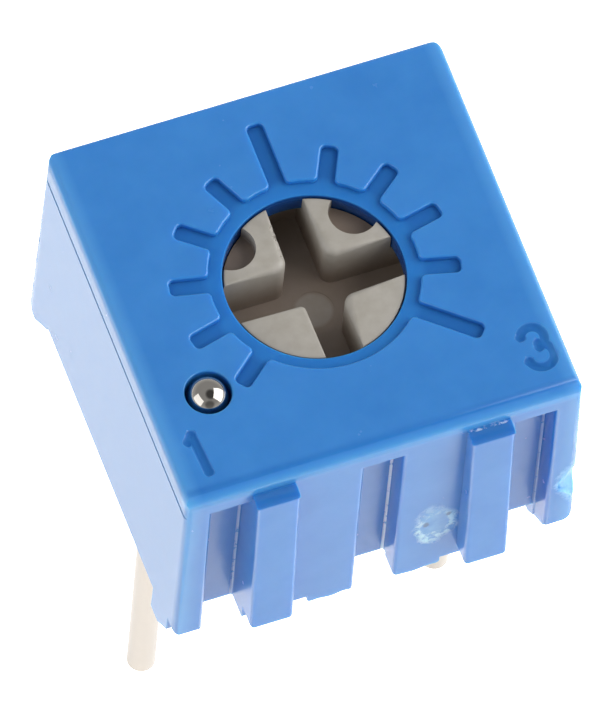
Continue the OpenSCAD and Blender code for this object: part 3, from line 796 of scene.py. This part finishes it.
def make_terminal(node, lean):
    """A terminal as the CAD has it, its leg leaning back by so much at the tip."""
    bm = bmesh.new()
    bm.from_mesh(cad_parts[node].data)
    bmesh.ops.scale(bm, vec=(1 / MM, 1 / MM, 1 / MM), verts=bm.verts)
    bmesh.ops.remove_doubles(bm, verts=bm.verts, dist=0.0005)
    tip = min(v.co.z for v in bm.verts)
    leg_top = 0.1
    for level in (0.2, leg_top, -0.1, -0.4, -1.0, -2.0, -3.5):
        bmesh.ops.bisect_plane(bm, geom=bm.verts[:] + bm.edges[:] + bm.faces[:], plane_co=(0, 0, level),
                               plane_no=(0, 0, 1), dist=1e-6)
    for v in bm.verts:
        v.co.y += lean * min(0.0, v.co.z - leg_top) / (tip - leg_top)
    return bm


def make_ball():
    bm = bmesh.new()
    bmesh.ops.create_uvsphere(bm, u_segments=96, v_segments=64, radius=BALL_R)
    return shift(bm, BALL_AT)


# ---- Build ---------------------------------------------------------------------------------------
def finish_piece(bm, name, material, slot, body, *nodes):
    """Puts the mesh in metres, dresses it and lets it ride on its body in place of the CAD nodes."""
    bmesh.ops.scale(bm, vec=(MM, MM, MM), verts=bm.verts)
    bmesh.ops.recalc_face_normals(bm, faces=bm.faces)
    for f in bm.faces:
        f.smooth = True
    for e in bm.edges:
        e.smooth = not is_sharp(e, 40)
    obj = to_object(bm, name)
    obj.data.materials.append(material)
    weighted = obj.modifiers.new("even_shading", "WEIGHTED_NORMAL")
    weighted.keep_sharp = True
    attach(obj, body)
    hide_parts(*nodes)


blue = moulded_blue()
beige = rotor_beige()
# polished bearing steel mirrors the room, slightly warm
steel = mottled("ball_steel_polished", "#ABA7A1", 0.07, {"Metallic": 1.0})
# hot-dipped tin on copper has a soft, warm grey sheen
tin = mottled("tinned_copper", "#BDB5AB", 0.35, {"Metallic": 1.0})
# moulded silicone rubber is brick red and dull
silicone = mottled("silicone_rubber_red", "#8C3A26", 0.55, {"IOR": 1.41})
# stamped and plated spring sheet is pale yellow and bright
spring = mottled("wiper_spring_plated", "#C9B98F", 0.25, {"Metallic": 1.0})
# fired alumina is off-white and matt
alumina = mottled("alumina_fired", "#EDEAE2", 0.50, {"IOR": 1.77})
# printed and fired resistive film is nearly black, with a dull sheen
cermet = mottled("cermet_film_fired", "#1E1D1C", 0.45, {"IOR": 1.80})
# a silver and palladium print is grey and slightly rough
silver = mottled("conductor_film_silver", "#C8C5BE", 0.35, {"Metallic": 1.0})
# tin solder, frozen from liquid, is bright grey
solder = mottled("solder_tin", "#BFC0C0", 0.25, {"Metallic": 1.0})
# the cast resin that seals the underside is dark blue, with a glossy skin
resin = mottled("epoxy_blue_cast", "#2A4468", 0.12, {"IOR": 1.55})

finish_piece(make_housing(), "housing_shell", blue, "housing_plastic", "housing", "housing")
finish_piece(make_rotor(), "rotor_head", beige, "rotor_plastic", "rotor", "rotor")
finish_piece(make_ball(), "vent_ball_polished", steel, "ball_steel", "housing", "vent_ball")
for node, lean in (("terminal_1", -0.03), ("terminal_3", 0.22)):
    finish_piece(make_terminal(node, lean), node + "_tinned", tin, "tinned_copper", "housing", node)

# the CAD nodes whose shape is kept get their finish
CARRIED_OVER = {
    "rotor_seal": silicone, "wiper": spring, "ceramic_element": alumina, "resistive_track": cermet,
    "collector_film": silver, "end_film_1": silver, "end_film_3": silver, "terminal_2": tin,
    "solder_joint_1": solder, "solder_joint_2": solder, "solder_joint_3": solder, "potting": resin}
for node, material in CARRIED_OVER.items():
    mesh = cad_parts[node].data
    mesh.materials.clear()
    mesh.materials.append(material)


# ---- Camera --------------------------------------------------------------------------------------
def heading(azimuth, elevation):
    """A direction: azimuth from the front wall's side towards terminal 3, elevation from the board."""
    azimuth, elevation = math.radians(azimuth), math.radians(elevation)
    return Vector((math.sin(azimuth) * math.cos(elevation), -math.cos(azimuth) * math.cos(elevation),
                   math.sin(elevation)))


AZIMUTH, ELEVATION, ROLL = -25.43, 61.57, 6.09      # degrees
LENS = 1400                                         # a long lens, in millimetres
SENSOR = 36
VIEW_HEIGHT = 11.08328                              # of the view at the dial, in millimetres
AIM = (-0.1315, -1.2602)                            # the view's middle, beside and below the dial's

roll = math.radians(ROLL)
towards = heading(AZIMUTH, ELEVATION)
level = heading(AZIMUTH + 90, 0)
right = math.cos(roll) * level + math.sin(roll) * towards.cross(level)
up = towards.cross(right)
aim = Vector((0, 0, TOP_Z)) + AIM[0] * right + AIM[1] * up
camera = bpy.data.objects.new("camera", bpy.data.cameras.new("camera"))
camera.data.lens = LENS
camera.data.sensor_width = SENSOR
camera.data.clip_start = 0.01
camera.data.clip_end = 10
bpy.context.scene.collection.objects.link(camera)
stand = Matrix.Translation((aim + towards * VIEW_HEIGHT * LENS / SENSOR) * MM)
camera.matrix_world = stand @ Matrix((right, up, towards)).transposed().to_4x4()
bpy.context.scene.camera = camera


# ---- Stage and light -----------------------------------------------------------------------------
def white_paper():
    """Plain white sweep: full white to the eye and to glossy surfaces, and it keeps the shadow."""
    made = bpy.data.materials.new("white_paper_sweep")
    made.use_nodes = True
    tree = made.node_tree
    tree.nodes.clear()
    ray = add(tree, "LightPath").outputs
    seen = add(tree, "Math", {0: ray["Is Camera Ray"], 1: ray["Is Glossy Ray"]}, operation="MAXIMUM")
    seen = add(tree, "Math", {0: seen.outputs[0], 1: ray["Is Transmission Ray"]}, operation="MAXIMUM")
    glow = add(tree, "Emission", {"Color": (1, 1, 1, 1), "Strength": 1.0})
    paper = add(tree, "BsdfDiffuse", {"Color": (0.92, 0.92, 0.92, 1)})
    both = add(tree, "AddShader", {0: glow.outputs[0], 1: paper.outputs[0]})
    face = add(tree, "MixShader", {0: seen.outputs[0], 1: paper.outputs[0], 2: both.outputs[0]})
    # from below, the sweep is clear, so the underside can be looked at
    under = add(tree, "NewGeometry").outputs["Backfacing"]
    clear = add(tree, "BsdfTransparent")
    whole = add(tree, "MixShader", {0: under, 1: face.outputs[0], 2: clear.outputs[0]})
    add(tree, "OutputMaterial", {"Surface": whole.outputs[0]})
    return made


sweep_bm = bmesh.new()
bmesh.ops.create_grid(sweep_bm, x_segments=1, y_segments=1, size=1500 * MM)
sweep = to_object(shift(sweep_bm, (0, 0, cad_low.z - 0.002 * MM)), "floor")
sweep.data.materials.append(white_paper())


def softbox(name, direction, width, height, radiance, distance=300):
    """A large soft lamp that looks at the part, its size and distance in millimetres."""
    data = bpy.data.lights.new(name, "AREA")
    data.shape = "RECTANGLE"
    data.size = width * MM
    data.size_y = height * MM
    data.energy = radiance * math.pi * width * height * MM * MM
    obj = bpy.data.objects.new(name, data)
    bpy.context.scene.collection.objects.link(obj)
    stand = Matrix.Translation(direction * distance * MM)
    obj.matrix_world = stand @ direction.to_track_quat("Z", "Y").to_matrix().to_4x4()


softbox("softbox_left", heading(-80, 24), 300, 200, 1.8)
softbox("softbox_right", heading(72, 34), 320, 310, 3.3)


def dark_part(tree, facing, direction, inner, outer, left):
    """A round dark part of the room: inside the inner angle only the share left of the light stays."""
    near = add(tree, "VectorMath", {0: facing, 1: direction}, operation="DOT_PRODUCT").outputs["Value"]
    return add(tree, "MapRange", {"Value": near, "From Min": math.cos(math.radians(outer)),
                                  "From Max": math.cos(math.radians(inner)), "To Min": 1.0, "To Max": left},
               interpolation_type="SMOOTHSTEP").outputs[0]


def studio():
    """A pale room, brighter low down. It is dark overhead, and in front of the part to the left."""
    made = bpy.data.worlds.new("studio")
    made.use_nodes = True
    tree = made.node_tree
    tree.nodes.clear()
    facing = add(tree, "TexCoord").outputs["Generated"]
    height = add(tree, "SeparateXYZ", {0: facing}).outputs["Z"]
    tone = region(tree, {"height": height}, [("height", 0.08, 0.42, 0.75, 0.5)])
    overhead = dark_part(tree, facing, (0.15, -0.211, 0.956), 18, 34, 0.2)
    in_front = dark_part(tree, facing, heading(-10, 22), 14, 30, 0.4)
    dim = add(tree, "Math", {0: overhead, 1: in_front}, operation="MULTIPLY")
    room = add(tree, "Background", {"Color": tone, "Strength": dim.outputs[0]})
    add(tree, "OutputWorld", {"Surface": room.outputs[0]})
    return made


bpy.context.scene.world = studio()
bpy.context.scene.view_settings.view_transform = "Standard"
